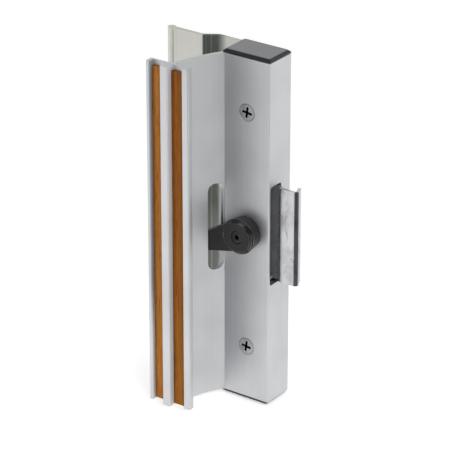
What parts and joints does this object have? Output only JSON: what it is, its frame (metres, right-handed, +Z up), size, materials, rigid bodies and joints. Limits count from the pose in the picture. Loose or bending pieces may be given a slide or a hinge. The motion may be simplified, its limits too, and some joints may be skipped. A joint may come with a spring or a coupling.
{
  "type": "patio door handle",
  "caption": "Sliding patio door handle with an extruded grip bar carrying wood strips, a thumb lever, a hooked clamp latch and an outer pull.",
  "frame": {"origin": "centre of the housing's right back lip, on the door's room face, at the height of the lever's axis", "axes": "+Y points from the room into the door, +Z up along the handle, +X towards the jamb that the latch hooks on"},
  "size_m": [0.083, 0.0568, 0.185],
  "materials": {
    "satin_aluminium": "satin clear anodised extrusion with faint lengthwise lines",
    "outer_aluminium": "satin clear anodised extrusion, slightly warmer",
    "wood_grain": "satin orange-brown wood with lengthwise grain",
    "black_plastic": "matt black moulded plastic",
    "pale_nylon": "natural nylon",
    "zinc_plated_steel": "bright zinc-plated pressed steel with faint scuffs",
    "blackened_steel": "black finished steel",
    "cast_zinc": "plain die-cast zinc"
  },
  "bodies": {
    "body": {"pull_body": "satin_aluminium", "wood_strip_left": "wood_grain", "wood_strip_right": "wood_grain", "top_cap": "black_plastic", "bottom_cap": "black_plastic", "mounting_screw_top": "zinc_plated_steel", "mounting_screw_bottom": "zinc_plated_steel", "screw_spacer_top": "pale_nylon", "screw_spacer_bottom": "pale_nylon", "latch_bracket": "blackened_steel", "hinge_pin": "zinc_plated_steel", "hinge_pin_clip": "zinc_plated_steel", "outer_pull": "outer_aluminium", "outer_nut_top": "zinc_plated_steel", "outer_nut_bottom": "zinc_plated_steel"},
    "lever": {"latch_lever": "black_plastic", "lever_rivet": "blackened_steel", "rivet_washer": "zinc_plated_steel", "friction_washer": "zinc_plated_steel", "latch_cam": "cast_zinc"},
    "hook": {"clamp_plate": "zinc_plated_steel"}
  },
  "joints": [
    {"name": "lever_turn", "type": "hinge", "parent": "body", "child": "lever", "pos_m": [-0.011, -0.0181, 0], "axis": [0, 1, 0], "range_deg": [0, 45]},
    {"name": "hook_swing", "type": "hinge", "parent": "body", "child": "hook", "pos_m": [-0.00295, -0.0117, 0], "axis": [0, 0, -1], "range_deg": [0, 20]}
  ],
  "couplings": [
    {"joint": "hook_swing", "follows": "lever_turn", "ratio": 0.4444}
  ]
}
